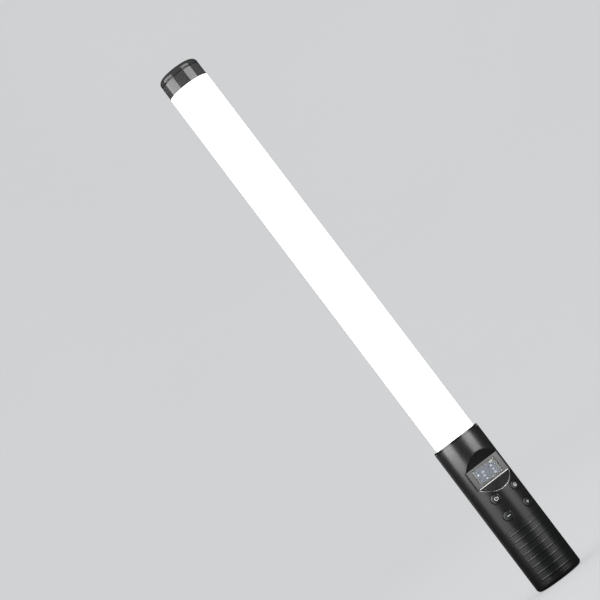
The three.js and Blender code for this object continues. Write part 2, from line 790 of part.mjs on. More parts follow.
[-CELL_X, CELL_X].forEach((x, i) => {
  place(battery, `battery_cell_${i + 1}`, batteryCell(), MATERIALS.cell, [x, CELL_Y, CELL_BOTTOM]);
});
place(battery, "battery_cradle", batteryCradle(), MATERIALS.plastic);
place(battery, "battery_tab_lower", batteryTab(CELL_BOTTOM - 0.4), MATERIALS.nickel);
place(battery, "battery_tab_upper", batteryTab(cellTop + 0.05), MATERIALS.nickel);

place(light, "diffuser_tube", ring(TUBE_RADIUS, TUBE_RADIUS - TUBE_WALL, TUBE_BOTTOM, TUBE_TOP), MATERIALS.diffuser);
place(light, "tube_socket", tubeSocket(), MATERIALS.plastic);
place(light, "tube_seal", seal(TUBE_RADIUS + 0.15, 20, 130.6, 132.8), MATERIALS.rubber);
place(light, "led_spine", ledSpine(), MATERIALS.aluminium);
for (let i = 0; i < 3; i++) {
  place(light, `led_board_${i + 1}`, ledBoard(), MATERIALS.ledBoard, [0, 0, 0], [0, 0, 120 * i]);
}
place(light, "spine_plate", spinePlate(), MATERIALS.plastic);
place(light, "tip_cap", tipCap(), MATERIALS.cap);
place(light, "tip_seal", seal(15.25, 16.65, 496, 498.1), MATERIALS.rubber);
place(light, "tip_dome", tipDome(), MATERIALS.cap);
place(light, "tip_screw", screw(3, 2, 1, 5), MATERIALS.steel, [0, 0, CAP_TOP - 2.5], [180, 0, 0]);

export default wand;
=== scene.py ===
import json
import math

import bmesh
import bpy
from mathutils import Matrix, Vector


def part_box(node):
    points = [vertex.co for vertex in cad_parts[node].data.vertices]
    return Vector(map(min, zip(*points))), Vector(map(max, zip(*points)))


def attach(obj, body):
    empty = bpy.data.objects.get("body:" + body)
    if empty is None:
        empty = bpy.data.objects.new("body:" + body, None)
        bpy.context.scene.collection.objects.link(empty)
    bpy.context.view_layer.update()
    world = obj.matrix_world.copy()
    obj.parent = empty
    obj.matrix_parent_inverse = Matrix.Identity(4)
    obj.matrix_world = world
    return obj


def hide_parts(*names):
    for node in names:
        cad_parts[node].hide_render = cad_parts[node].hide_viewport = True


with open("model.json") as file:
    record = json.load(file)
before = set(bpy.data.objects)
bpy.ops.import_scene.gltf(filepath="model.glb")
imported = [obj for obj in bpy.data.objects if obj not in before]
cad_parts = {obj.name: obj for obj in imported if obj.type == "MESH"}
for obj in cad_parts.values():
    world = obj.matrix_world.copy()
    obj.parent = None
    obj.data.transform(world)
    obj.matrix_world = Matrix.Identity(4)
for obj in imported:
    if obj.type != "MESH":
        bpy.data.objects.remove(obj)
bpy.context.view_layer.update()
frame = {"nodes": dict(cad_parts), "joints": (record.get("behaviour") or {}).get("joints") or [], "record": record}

scene = bpy.context.scene
MM = 0.001
BODY = "wand"
TURN = 144  # segments round the large round pieces


# ---- Sizes in millimetres, from the CAD nodes ----

def low(node):
    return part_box(node)[0] / MM


def high(node):
    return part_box(node)[1] / MM


def middle(node):
    return (low(node) + high(node)) / 2


def z_range(node):
    return low(node).z, high(node).z


def joint_place(name):
    return Vector(next(j for j in frame["joints"] if j["name"] == name)["pos_m"]) / MM


HANDLE_R = high("butt_cap").x
WALL = 2.2
CAVITY_R = HANDLE_R - WALL
PARTING = -high("front_shell").y  # half the gap between the two shells
SHELL_BOTTOM, SHELL_TOP = z_range("front_shell")
COLLAR_BOTTOM, COLLAR_TOP = z_range("tube_collar")
TUBE_R = high("diffuser_tube").x
TUBE_WALL = 1.6
TUBE_BOTTOM, TUBE_TOP = z_range("diffuser_tube")
DOME_BOTTOM, TOP = z_range("tip_dome")

# The display recess: a flat with a ramp above it and one below it, each RAMP high
FLAT_Y = low("display_bezel").y
FLAT_BOTTOM = low("display_bezel").z - 1.5
FLAT_TOP = high("display_bezel").z + 0.15
RAMP = 9.3
BEZEL_THICK = 1.2
FLOOR_THICK = 1.5
WINDOW_Z = middle("display_lens").z
WINDOW_HALF_W = high("display_lens").x + 0.15
WINDOW_HALF_H = high("display_lens").z - WINDOW_Z + 0.15

# Keys, their switches and the board behind them
KEY_R = 4
KEY_NAMES = ["power_key", "mode_key", "down_key", "up_key"]
KEY_PLACES = [(middle(f"key_switch_{i}").x, middle(f"key_switch_{i}").z) for i in range(1, 5)]
BOARD_Y = low("main_board").y
KEY_END_Y = low("key_plunger_1").y - 0.3
BOARD_POSTS = [middle("board_screw_1").z, middle("board_screw_2").z]

# The charging port, its flap and the flap's hinge
PORT_Z = middle("usb_port").z
PORT_BACK_Y, PORT_Y = low("usb_port").y, high("usb_port").y
PORT_HALF_W = 6.3
PORT_HALF_H = 3.6
FLAP_HALF_W = high("port_flap").x
FLAP_BOTTOM = low("port_flap").z
FLAP_TOP = PORT_Z + 4.7
FLAP_THICK = 1.3
HINGE = joint_place("port_flap_hinge")

SHELL_SCREWS = [f"shell_screw_{i}" for i in range(1, 5)]
FRONT_PAD = {"node": "front_grip_pad", "turn": -90, "half_angle": 60, "ribs": 8}
REAR_PAD = {"node": "rear_grip_pad", "turn": 90, "half_angle": 40, "ribs": 6}
RIB_PITCH = 6.07
RIB_HALF = 0.65  # half a rib's width
RIB_PROUD = 0.5
RIBS_BELOW_MIDDLE = 0.9
PAD_THICK = 1


# ---- Meshes ----

def link(name, data):
    obj = bpy.data.objects.new(name, data)
    scene.collection.objects.link(obj)
    return obj


def make(name, bm):
    mesh = bpy.data.meshes.new(name)
    bmesh.ops.remove_doubles(bm, verts=bm.verts, dist=1e-8)
    bmesh.ops.recalc_face_normals(bm, faces=bm.faces)
    bm.to_mesh(mesh)
    bm.free()
    return link(name, mesh)


def rounded(points, closed, steps=5):
    """The profile with each third value, a fillet's radius, made into short steps."""
    out = []
    for i, point in enumerate(points):
        fillet = point[2] if len(point) > 2 else 0
        p = Vector(point[:2])
        if not fillet or (not closed and i in (0, len(points) - 1)):
            out.append(tuple(p))
            continue
        to_last = (Vector(points[i - 1][:2]) - p).normalized()
        to_next = (Vector(points[(i + 1) % len(points)][:2]) - p).normalized()
        half = to_last.angle(to_next) / 2
        centre = p + (to_last + to_next).normalized() * fillet / math.sin(half)
        start = p + to_last * fillet / math.tan(half) - centre
        end = p + to_next * fillet / math.tan(half) - centre
        sweep = start.angle_signed(end)
        for k in range(steps + 1):
            out.append(tuple(centre + Matrix.Rotation(-sweep * k / steps, 2) @ start))
    return out


def bridge(bm, rings):
    """Faces from each ring of points to the next. A ring may be a single point."""
    for a, b in zip(rings, rings[1:]):
        count = max(len(a), len(b))
        for i in range(count):
            j = (i + 1) % count
            corners = dict.fromkeys([a[i % len(a)], a[j % len(a)], b[j % len(b)], b[i % len(b)]])
            if len(corners) > 2:
                bm.faces.new(list(corners))


def lathe(name, points, closed=False, segments=TURN, steps=5):
    """Turns a profile of (r, z) or (r, z, fillet) about Z. An open one starts and ends on the axis."""
    bm = bmesh.new()
    rings = []
    for r, z in rounded(points, closed, steps):
        around = 1 if r < 1e-9 else segments
        angles = [2 * math.pi * i / segments for i in range(around)]
        rings.append([bm.verts.new((r * math.cos(a) * MM, r * math.sin(a) * MM, z * MM)) for a in angles])
    if closed:
        rings.append(rings[0])
    bridge(bm, rings)
    return make(name, bm)


def lathe_y(name, points, x, z):
    """The same, turned about a line along Y through x, z: the profile is (r, y)."""
    obj = lathe(name, points, segments=48)
    obj.data.transform(Matrix.Translation((x * MM, 0, z * MM)) @ Matrix.Rotation(-math.pi / 2, 4, "X"))
    return obj


def prism(name, outline, place, ends):
    """Extrudes a flat outline. place turns an outline's point and one of the ends into x, y, z."""
    bm = bmesh.new()
    rings = [[bm.verts.new(Vector(place(a, b, end)) * MM) for a, b in outline] for end in ends]
    bm.faces.new(rings[0])
    bm.faces.new(rings[1][::-1])
    for i in range(len(outline)):
        j = (i + 1) % len(outline)
        bm.faces.new([rings[0][i], rings[1][i], rings[1][j], rings[0][j]])
    return make(name, bm)


def along_y(a, b, end):
    return (a, end, b)


def along_z(a, b, end):
    return (a, b, end)


def along_x(a, b, end):
    return (end, a, b)


def rectangle(x, z):
    return [(x[0], z[0]), (x[1], z[0]), (x[1], z[1]), (x[0], z[1])]


def box(name, x, y, z):
    return prism(name, rectangle(x, z), along_y, y)


def circle(radius, count, a=0, b=0):
    turns = [2 * math.pi * i / count for i in range(count)]
    return [(a + radius * math.cos(t), b + radius * math.sin(t)) for t in turns]


def round_box(half_w, half_h, radius, a=0, b=0, steps=6):
    """A rectangle with round corners."""
    out = []
    for quarter, (sx, sz) in enumerate([(1, 1), (-1, 1), (-1, -1), (1, -1)]):
        for k in range(steps + 1):
            t = math.pi / 2 * (quarter + k / steps)
            centre = (a + sx * (half_w - radius), b + sz * (half_h - radius))
            out.append((centre[0] + radius * math.cos(t), centre[1] + radius * math.sin(t)))
    return out


def bar_y(name, radius, x, z, y, count=48):
    return prism(name, circle(radius, count, x, z), along_y, y)


def bar_x(name, radius, y, z, x):
    return prism(name, circle(radius, 32, y, z), along_x, x)


def bar_z(name, radius, z):
    return prism(name, circle(radius, TURN), along_z, z)


def sector(name, outer, inner, turn, half_angle, z):
    """Part of a ring about Z, centred on the angle turn."""
    steps = max(2, round(half_angle * 2 / 2.5))
    angles = [math.radians(turn - half_angle + 2 * half_angle * i / steps) for i in range(steps + 1)]
    outline = [(outer * math.cos(a), outer * math.sin(a)) for a in angles]
    outline += [(inner * math.cos(a), inner * math.sin(a)) for a in reversed(angles)]
    return prism(name, outline, along_z, z)


def sweep(name, path, radius, sides=20):
    """A round bar along a path of points."""
    bm = bmesh.new()
    points = [Vector(p) for p in path]
    rings = []
    for i, p in enumerate(points):
        ahead = (points[min(i + 1, len(points) - 1)] - points[max(i - 1, 0)]).normalized()
        side = ahead.cross(Vector((p.x, p.y, 0))).normalized()
        up = side.cross(ahead)
        turns = [2 * math.pi * k / sides for k in range(sides)]
        around = [p + (side * math.cos(t) + up * math.sin(t)) * radius for t in turns]
        rings.append([bm.verts.new(spot * MM) for spot in around])
    bridge(bm, rings)
    bm.faces.new(rings[0])
    bm.faces.new(rings[-1][::-1])
    return make(name, bm)


def apply(obj):
    """Makes the modified mesh the object's own."""
    bpy.context.view_layer.update()
    graph = bpy.context.evaluated_depsgraph_get()
    mesh = bpy.data.meshes.new_from_object(obj.evaluated_get(graph))
    obj.modifiers.clear()
    old, obj.data = obj.data, mesh
    bpy.data.meshes.remove(old)
    return obj


def combine(obj, operation, tools):
    for tool in tools:
        step = obj.modifiers.new(operation, "BOOLEAN")
        step.solver = "MANIFOLD"
        step.operation = operation
        step.object = tool
    apply(obj)
    for tool in tools:
        bpy.data.objects.remove(tool)
    return obj


def carve(obj, *tools):
    return combine(obj, "DIFFERENCE", tools)


def add(obj, *tools):
    return combine(obj, "UNION", tools)


def keep(obj, *tools):
    return combine(obj, "INTERSECT", tools)


def finish(obj, bevel=0.0, segments=3):
    """Rounds the sharp edges by bevel, and shades the rest smooth."""
    if bevel:
        edges = obj.modifiers.new("edges", "BEVEL")
        edges.width = bevel * MM
        edges.segments = segments
        edges.limit_method = "ANGLE"
        edges.angle_limit = math.radians(32)
        edges.use_clamp_overlap = False
        edges.miter_outer = "MITER_ARC"
        apply(obj)
    obj.data.shade_smooth()
    obj.data.set_sharp_from_angle(angle=math.radians(50))
    normals = obj.modifiers.new("normals", "WEIGHTED_NORMAL")
    normals.keep_sharp = True
    normals.weight = 60
    return apply(obj)


def round_shading(obj):
    """Shades the handle's round surface as truly round, wherever holes have cut it."""
    mesh = obj.data
    normals = [Vector(corner.vector) for corner in mesh.corner_normals]
    for face in mesh.polygons:
        for corner in face.loop_indices:
            spot = mesh.vertices[mesh.loops[corner].vertex_index].co
            out = Vector((spot.x, spot.y, 0))
            on_skin = abs(out.length / MM - HANDLE_R) < 0.02
            if on_skin and face.normal.dot(out) > 0.8 * out.length:
                normals[corner] = out.normalized()
    mesh.normals_split_custom_set(normals)
    return obj


# ---- Materials ----

class Maker:
    """Builds one material's nodes."""

    def __init__(self, name):
        self.material = bpy.data.materials.new(name)
        self.material.use_nodes = True
        self.tree = self.material.node_tree
        self.shader = next(n for n in self.tree.nodes if n.type == "BSDF_PRINCIPLED")
        self.place = self.add("ShaderNodeTexCoord").outputs["Object"]

    def add(self, kind, **settings):
        node = self.tree.nodes.new(kind)
        for key, value in settings.items():
            setattr(node, key, value)
        return node

    def put(self, socket, value):
        if isinstance(value, bpy.types.NodeSocket):
            self.tree.links.new(value, socket)
        elif isinstance(value, tuple) and socket.type == "RGBA":
            socket.default_value = (*value, 1)
        else:
            socket.default_value = value

    def stretched(self, x, y, z):
        node = self.add("ShaderNodeMapping")
        self.put(node.inputs["Vector"], self.place)
        node.inputs["Scale"].default_value = (x, y, z)
        return node.outputs["Vector"]

    def noise(self, size_mm, detail=3, vector=None, roughness=0.5):
        node = self.add("ShaderNodeTexNoise")
        self.put(node.inputs["Vector"], vector or self.place)
        self.put(node.inputs["Scale"], 1 / (size_mm * MM))
        self.put(node.inputs["Detail"], detail)
        self.put(node.inputs["Roughness"], roughness)
        return node.outputs["Fac"]

    def cells(self, size_mm):
        node = self.add("ShaderNodeTexVoronoi")
        self.put(node.inputs["Vector"], self.place)
        self.put(node.inputs["Scale"], 1 / (size_mm * MM))
        return node.outputs["Distance"]

    def spread(self, value, low_out, high_out, low_in=0.3, high_in=0.7):
        node = self.add("ShaderNodeMapRange")
        for name, number in (
            ("From Min", low_in), ("From Max", high_in), ("To Min", low_out), ("To Max", high_out)
        ):
            node.inputs[name].default_value = number
        self.put(node.inputs["Value"], value)
        return node.outputs["Result"]

    def blend(self, factor, first, second):
        node = self.add("ShaderNodeMix", data_type="RGBA")
        self.put(node.inputs[0], factor)
        self.put(node.inputs[6], first)
        self.put(node.inputs[7], second)
        return node.outputs[2]

    def bump(self, height, depth_mm, after=None):
        node = self.add("ShaderNodeBump")
        node.inputs["Distance"].default_value = depth_mm * MM
        self.put(node.inputs["Height"], height)
        if after is not None:
            self.put(node.inputs["Normal"], after)
        return node.outputs["Normal"]

    def set(self, **values):
        names = {
            "colour": "Base Color", "roughness": "Roughness", "metal": "Metallic", "normal": "Normal",
            "specular": "Specular IOR Level", "ior": "IOR", "through": "Transmission Weight",
            "emission": "Emission Color", "strength": "Emission Strength",
        }
        for key, value in values.items():
            self.put(self.shader.inputs[names[key]], value)
        return self.material


def moulded(name, dark, light, roughness, grain_mm, grain_depth):
    """Moulded plastic or rubber: slow colour drift, fine eroded grain, uneven polish."""
    m = Maker(name)
    base = m.blend(m.spread(m.noise(22, 4), 0, 1), dark, light)
    fleck = tuple(c * 1.5 for c in light)
    colour = m.blend(m.spread(m.noise(0.9, 2), 0, 0.35), base, fleck)
    rough = m.spread(m.noise(9, 5, roughness=0.6), roughness - 0.04, roughness + 0.05)
    fine = m.bump(m.noise(grain_mm, 4), grain_depth)
    pits = m.bump(m.cells(grain_mm * 1.8), grain_depth * 0.6, after=fine)
    return m.set(colour=colour, roughness=rough, normal=pits)


def polished(name, dark, light, roughness):
    """Glossy moulded plastic, with faint wipe marks in the finish."""
    m = Maker(name)
    colour = m.blend(m.spread(m.noise(14, 3), 0, 1), dark, light)
    wiped = m.noise(0.7, 3, m.stretched(1, 1, 0.04))
    rough = m.spread(wiped, roughness, roughness + 0.05)
    return m.set(colour=colour, roughness=rough, normal=m.bump(m.noise(6, 2), 0.004))


def metal(name, dark, light, roughness, brush=(1, 1, 1), grain_mm=0.5):
    """Metal with a brushed or turned grain and slight tarnish."""
    m = Maker(name)
    colour = m.blend(m.spread(m.noise(5, 5), 0, 1), dark, light)
    grain = m.noise(grain_mm, 4, m.stretched(*brush))
    rough = m.spread(grain, roughness - 0.06, roughness + 0.1)
    return m.set(colour=colour, roughness=rough, metal=1.0, normal=m.bump(grain, 0.006))


def circuit(name, dark, light, track):
    """A circuit board: solder mask over raised tracks, and the weave under it."""
    m = Maker(name)
    lines = m.add("ShaderNodeTexBrick")
    m.put(lines.inputs["Vector"], m.place)
    m.put(lines.inputs["Scale"], 220.0)
    m.put(lines.inputs["Mortar Size"], 0.025)
    mask = m.blend(m.spread(m.noise(3, 3), 0, 1), dark, light)
    colour = m.blend(lines.outputs["Fac"], mask, track)
    weave = m.bump(m.noise(0.25, 2), 0.01)
    raised = m.bump(lines.outputs["Fac"], 0.03, after=weave)
    return m.set(colour=colour, roughness=m.spread(m.noise(4), 0.28, 0.42), normal=raised)


def glowing(name, dark, light, emission, strength, roughness, shine=0.15):
    """Something lit from inside, very slightly uneven."""
    m = Maker(name)
    colour = m.blend(m.spread(m.noise(18, 3), 0, 1), dark, light)
    even = m.spread(m.noise(25, 2), strength * 0.985, strength * 1.015)
    rough = m.spread(m.noise(7, 3), roughness, roughness + 0.06)
    soft = m.bump(m.noise(0.6, 3), 0.004)
    return m.set(
        colour=colour, roughness=rough, specular=shine, emission=emission, strength=even, normal=soft
    )


def clear(name):
    """Clear acrylic, with faint marks where it is wiped."""
    m = Maker(name)
    colour = m.blend(m.spread(m.noise(10), 0, 1), (0.9, 0.92, 0.94), (0.96, 0.97, 0.98))
    return m.set(colour=colour, roughness=m.spread(m.noise(4, 4), 0.0, 0.02), through=1.0, ior=1.49)


MATERIALS = {
    "shell": moulded(
        "satin_black_plastic", (0.0045, 0.0046, 0.0045), (0.006, 0.0061, 0.006), 0.3, 0.22, 0.01
    ),
    "gloss": polished("gloss_black_plastic", (0.005, 0.005, 0.0055), (0.007, 0.007, 0.0078), 0.2),
    "bezel": polished("bezel_grey_plastic", (0.027, 0.028, 0.026), (0.034, 0.035, 0.033), 0.35),
    "cap": polished("cap_black_plastic", (0.034, 0.034, 0.034), (0.042, 0.042, 0.042), 0.06),
    "grip": moulded(
        "grip_rubber", (0.0042, 0.0046, 0.0045), (0.0055, 0.006, 0.0058), 0.3, 0.35, 0.02
    ),
    "key": moulded("key_rubber", (0.006, 0.0062, 0.0062), (0.008, 0.0084, 0.0084), 0.32, 0.18, 0.008),
    "mark": moulded("printed_mark", (0.34, 0.34, 0.34), (0.4, 0.4, 0.4), 0.5, 0.3, 0.004),
    "rubber": moulded("seal_rubber", (0.012, 0.012, 0.012), (0.02, 0.02, 0.02), 0.6, 0.4, 0.02),
    "chrome": metal("satin_trim_metal", (0.29, 0.288, 0.28), (0.35, 0.348, 0.34), 0.35, (1, 1, 1), 1.5),
    "steel": metal("screw_steel", (0.42, 0.42, 0.43), (0.6, 0.6, 0.62), 0.3, (1, 1, 1), 0.3),
    "brass": metal("insert_brass", (0.52, 0.36, 0.13), (0.74, 0.55, 0.25), 0.28, (1, 1, 8), 0.5),
    "aluminium": metal("spine_aluminium", (0.62, 0.63, 0.64), (0.78, 0.79, 0.8), 0.35, (1, 1, 0.03), 0.5),
    "nickel": metal("tab_nickel", (0.56, 0.54, 0.5), (0.72, 0.7, 0.66), 0.3, (0.1, 1, 1), 0.4),
    "lens": clear("window_acrylic"),
    "panel": polished("panel_glass", (0.05, 0.053, 0.046), (0.06, 0.063, 0.056), 0.08),
    "screen": glowing(
        "display_screen", (0.025, 0.03, 0.042), (0.035, 0.04, 0.055), (0.5, 0.6, 0.85), 0.07, 0.04
    ),
    "board": circuit("board_green", (0.01, 0.09, 0.035), (0.02, 0.13, 0.05), (0.03, 0.2, 0.08)),
    "led_board": circuit("led_board_white", (0.75, 0.75, 0.72), (0.85, 0.85, 0.83), (0.9, 0.88, 0.8)),
    "diffuser": glowing(
        "milky_diffuser", (0.88, 0.88, 0.88), (0.93, 0.93, 0.93), (1.0, 1.0, 1.0), 1.5, 0.28, 0.5
    ),
    "cell": polished("cell_wrap", (0.02, 0.1, 0.3), (0.03, 0.14, 0.38), 0.2),
    "plastic": moulded("inner_plastic", (0.03, 0.03, 0.032), (0.05, 0.05, 0.052), 0.55, 0.3, 0.02),
    "wire": moulded("wire_jacket", (0.25, 0.012, 0.012), (0.38, 0.02, 0.018), 0.4, 0.5, 0.01),
    "glyph": glowing("display_glyph", (0.05, 0.06, 0.08), (0.08, 0.09, 0.1), (0.8, 0.88, 1.0), 1.1, 0.04),
    "glyph_warm": glowing(
        "display_glyph_warm", (0.06, 0.06, 0.04), (0.08, 0.08, 0.05), (1.0, 0.95, 0.7), 0.9, 0.04
    ),
}


def dress(obj, kind):
    obj.data.materials.clear()
    obj.data.materials.append(MATERIALS[kind])


def piece(obj, kind, body=BODY, stands_for=()):
    """Gives a finished mesh the material of its slot and its body, and hides the CAD nodes that it stands for."""
    dress(obj, kind)
    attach(obj, body)
    if stands_for:
        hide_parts(*stands_for)
    return obj


# ---- Handle shells ----

BEYOND = 30  # past the handle's surface, for tools that cut right through
COLLAR_LIP_R = 19.8
POST_R = 2.2
POST_HOLE_R = 1
BOSS_R = 2.4
BOSS_HOLE_R = 1.2
REAR_BOSS_R = 3.3
SCREW_WELL_R = 2.5
SCREW_CLEARANCE_R = 1.4


def recess_tool(depth=0.0, seat=0.0):
    """The display recess as a solid, moved inwards by depth, with a square seat behind its flat."""
    rise = HANDLE_R + FLAT_Y
    far = rise + 3
    slope = RAMP / rise
    shift = depth * (math.hypot(1, slope) - slope)
    outline = [
        (FLAT_Y + depth, FLAT_TOP + shift),
        (FLAT_Y - far, FLAT_TOP + shift + slope * (far + depth)),
        (FLAT_Y - far, FLAT_BOTTOM - shift - slope * (far + depth)),
        (FLAT_Y + depth, FLAT_BOTTOM - shift),
    ]
    if seat:
        outline += [(FLAT_Y + seat, FLAT_BOTTOM), (FLAT_Y + seat, FLAT_TOP)]
    return prism("recess", outline, along_x, (-BEYOND, BEYOND))


def shell_wall():
    """The outside of both shells, as one solid."""
    chamfer = 0.15
    profile = [
        (0, SHELL_BOTTOM),
        (HANDLE_R, SHELL_BOTTOM),
        (HANDLE_R, SHELL_TOP - chamfer),
        (HANDLE_R - chamfer, SHELL_TOP),
        (0, SHELL_TOP),
    ]
    return lathe("shell_outer", profile)


def shell_inside():
    """The space inside both shells, with the ledge and the groove that seat the tube."""
    plug_r, plug_top = 17.5, 6
    ledge_r, ledge_bottom, ledge_top = 18, 121.8, 123
    seat, seat_bottom = TUBE_R + 0.3, 126.4
    groove_r, groove_bottom, groove_top = 20.2, 130.4, 133
    profile = [
        (0, SHELL_BOTTOM - 1),
        (plug_r, SHELL_BOTTOM - 1),
        (plug_r, plug_top),
        (CAVITY_R, plug_top),
        (CAVITY_R, ledge_bottom),
        (ledge_r, ledge_bottom),
        (ledge_r, ledge_top),
        (CAVITY_R, ledge_top),
        (CAVITY_R, seat_bottom),
        (seat, seat_bottom),
        (seat, groove_bottom),
        (groove_r, groove_bottom),
        (groove_r, groove_top),
        (seat, groove_top),
        (seat, COLLAR_BOTTOM - 1.2),
        (COLLAR_LIP_R + 0.2, COLLAR_BOTTOM - 1.2),
        (COLLAR_LIP_R + 0.2, SHELL_TOP + 1),
        (0, SHELL_TOP + 1),
    ]
    return lathe("shell_inside", profile)


def pad_seat(pad):
    z0, z1 = z_range(pad["node"])
    inner = HANDLE_R - PAD_THICK - 0.1
    half_angle = pad["half_angle"] + 0.3
    return sector("pad_seat", HANDLE_R + 5, inner, pad["turn"], half_angle, (z0 - 0.12, z1 + 0.12))


def screw_places():
    return [(middle(name).x, middle(name).z) for name in SHELL_SCREWS]


def front_shell():
    """The front half: the recess with a floor behind it, the key holes, posts and screw bosses."""
    hole_half_w = WINDOW_HALF_W + 1.5
    hole_half_h = high("display_panel").z - WINDOW_Z + 0.3
    hole_z = (WINDOW_Z - hole_half_h, WINDOW_Z + hole_half_h)
    floor_y = (-25, FLAT_Y + BEZEL_THICK + FLOOR_THICK)
    floor_z = (FLAT_BOTTOM - FLOOR_THICK, FLAT_TOP + FLOOR_THICK)
    inside = shell_inside()
    carve(inside, recess_tool(FLOOR_THICK), box("floor", (-BEYOND, BEYOND), floor_y, floor_z))
    shell = shell_wall()
    shell.name = "front_shell_skin"
    carve(shell, inside, box("rear_half", (-BEYOND, BEYOND), (-PARTING, BEYOND), (0, 150)))
    in_wall = bar_z("in_wall", HANDLE_R - 1, (0, 140))
    posts = [bar_y("post", POST_R, 0, z, (-20.5, BOARD_Y - 0.1)) for z in BOARD_POSTS]
    bosses = [bar_y("boss", BOSS_R, x, z, (-17, -PARTING)) for x, z in screw_places()]
    fittings = keep(add(posts[0], posts[1], *bosses), in_wall)
    add(shell, fittings)
    carve(
        shell,
        recess_tool(seat=BEZEL_THICK),
        box("panel_hole", (-hole_half_w, hole_half_w), (FLAT_Y + 0.6, -6), hole_z),
        pad_seat(FRONT_PAD),
        *[bar_y("key_hole", KEY_R + 0.3, x, z, (-BEYOND, -8)) for x, z in KEY_PLACES],
        *[bar_y("post_hole", POST_HOLE_R, 0, z, (-16.5, 0), 24) for z in BOARD_POSTS],
        *[bar_y("boss_hole", BOSS_HOLE_R, x, z, (-10, 1), 24) for x, z in screw_places()],
    )
    piece(round_shading(finish(shell, 0.2)), "shell", stands_for=["front_shell"])


def port_box(name, grow, y):
    outline = round_box(PORT_HALF_W + grow, PORT_HALF_H + grow, 1.2 + grow, 0, PORT_Z)
    return prism(name, outline, along_y, y)


def rear_shell():
    """The rear half: screw wells, and a recess for the port with the flap's seat and hinge."""
    in_wall = bar_z("in_wall", HANDLE_R - 0.3, (5, 130))
    bosses = [bar_y("boss", REAR_BOSS_R, x, z, (PARTING, 20)) for x, z in screw_places()]
    tunnel = port_box("tunnel", 1.2, (PORT_Y - 1, 21))
    fittings = keep(add(bosses[0], *bosses[1:], tunnel), in_wall)
    shell = shell_wall()
    shell.name = "rear_shell_skin"
    carve(shell, shell_inside(), box("front_half", (-BEYOND, BEYOND), (-BEYOND, PARTING), (0, 150)))
    add(shell, fittings)
    seat_r = HANDLE_R - FLAP_THICK - 0.2
    seat_half = math.degrees(math.asin(FLAP_HALF_W / HANDLE_R)) + 0.8
    carve(
        shell,
        port_box("port", 0, (PORT_Y, BEYOND)),
        box("receptacle", (-4.8, 4.8), (9, 20), (PORT_Z - 1.9, PORT_Z + 1.9)),
        sector("flap_seat", BEYOND, seat_r, 90, seat_half, (PORT_Z - 5.25, PORT_Z + 5)),
        bar_x("hinge_groove", 1.2, HINGE.y, HINGE.z, (-3.3, 3.3)),
        box("hinge_mouth", (-3.3, 3.3), (HINGE.y, BEYOND), (PORT_Z, HINGE.z + 1.2)),
        pad_seat(REAR_PAD),
        *[bar_y("well", SCREW_WELL_R, x, z, (7, BEYOND)) for x, z in screw_places()],
        *[bar_y("clearance", SCREW_CLEARANCE_R, x, z, (-1, 8), 24) for x, z in screw_places()],
    )
    piece(round_shading(finish(shell, 0.2)), "shell", stands_for=["rear_shell"])


# ---- Grip pads ----

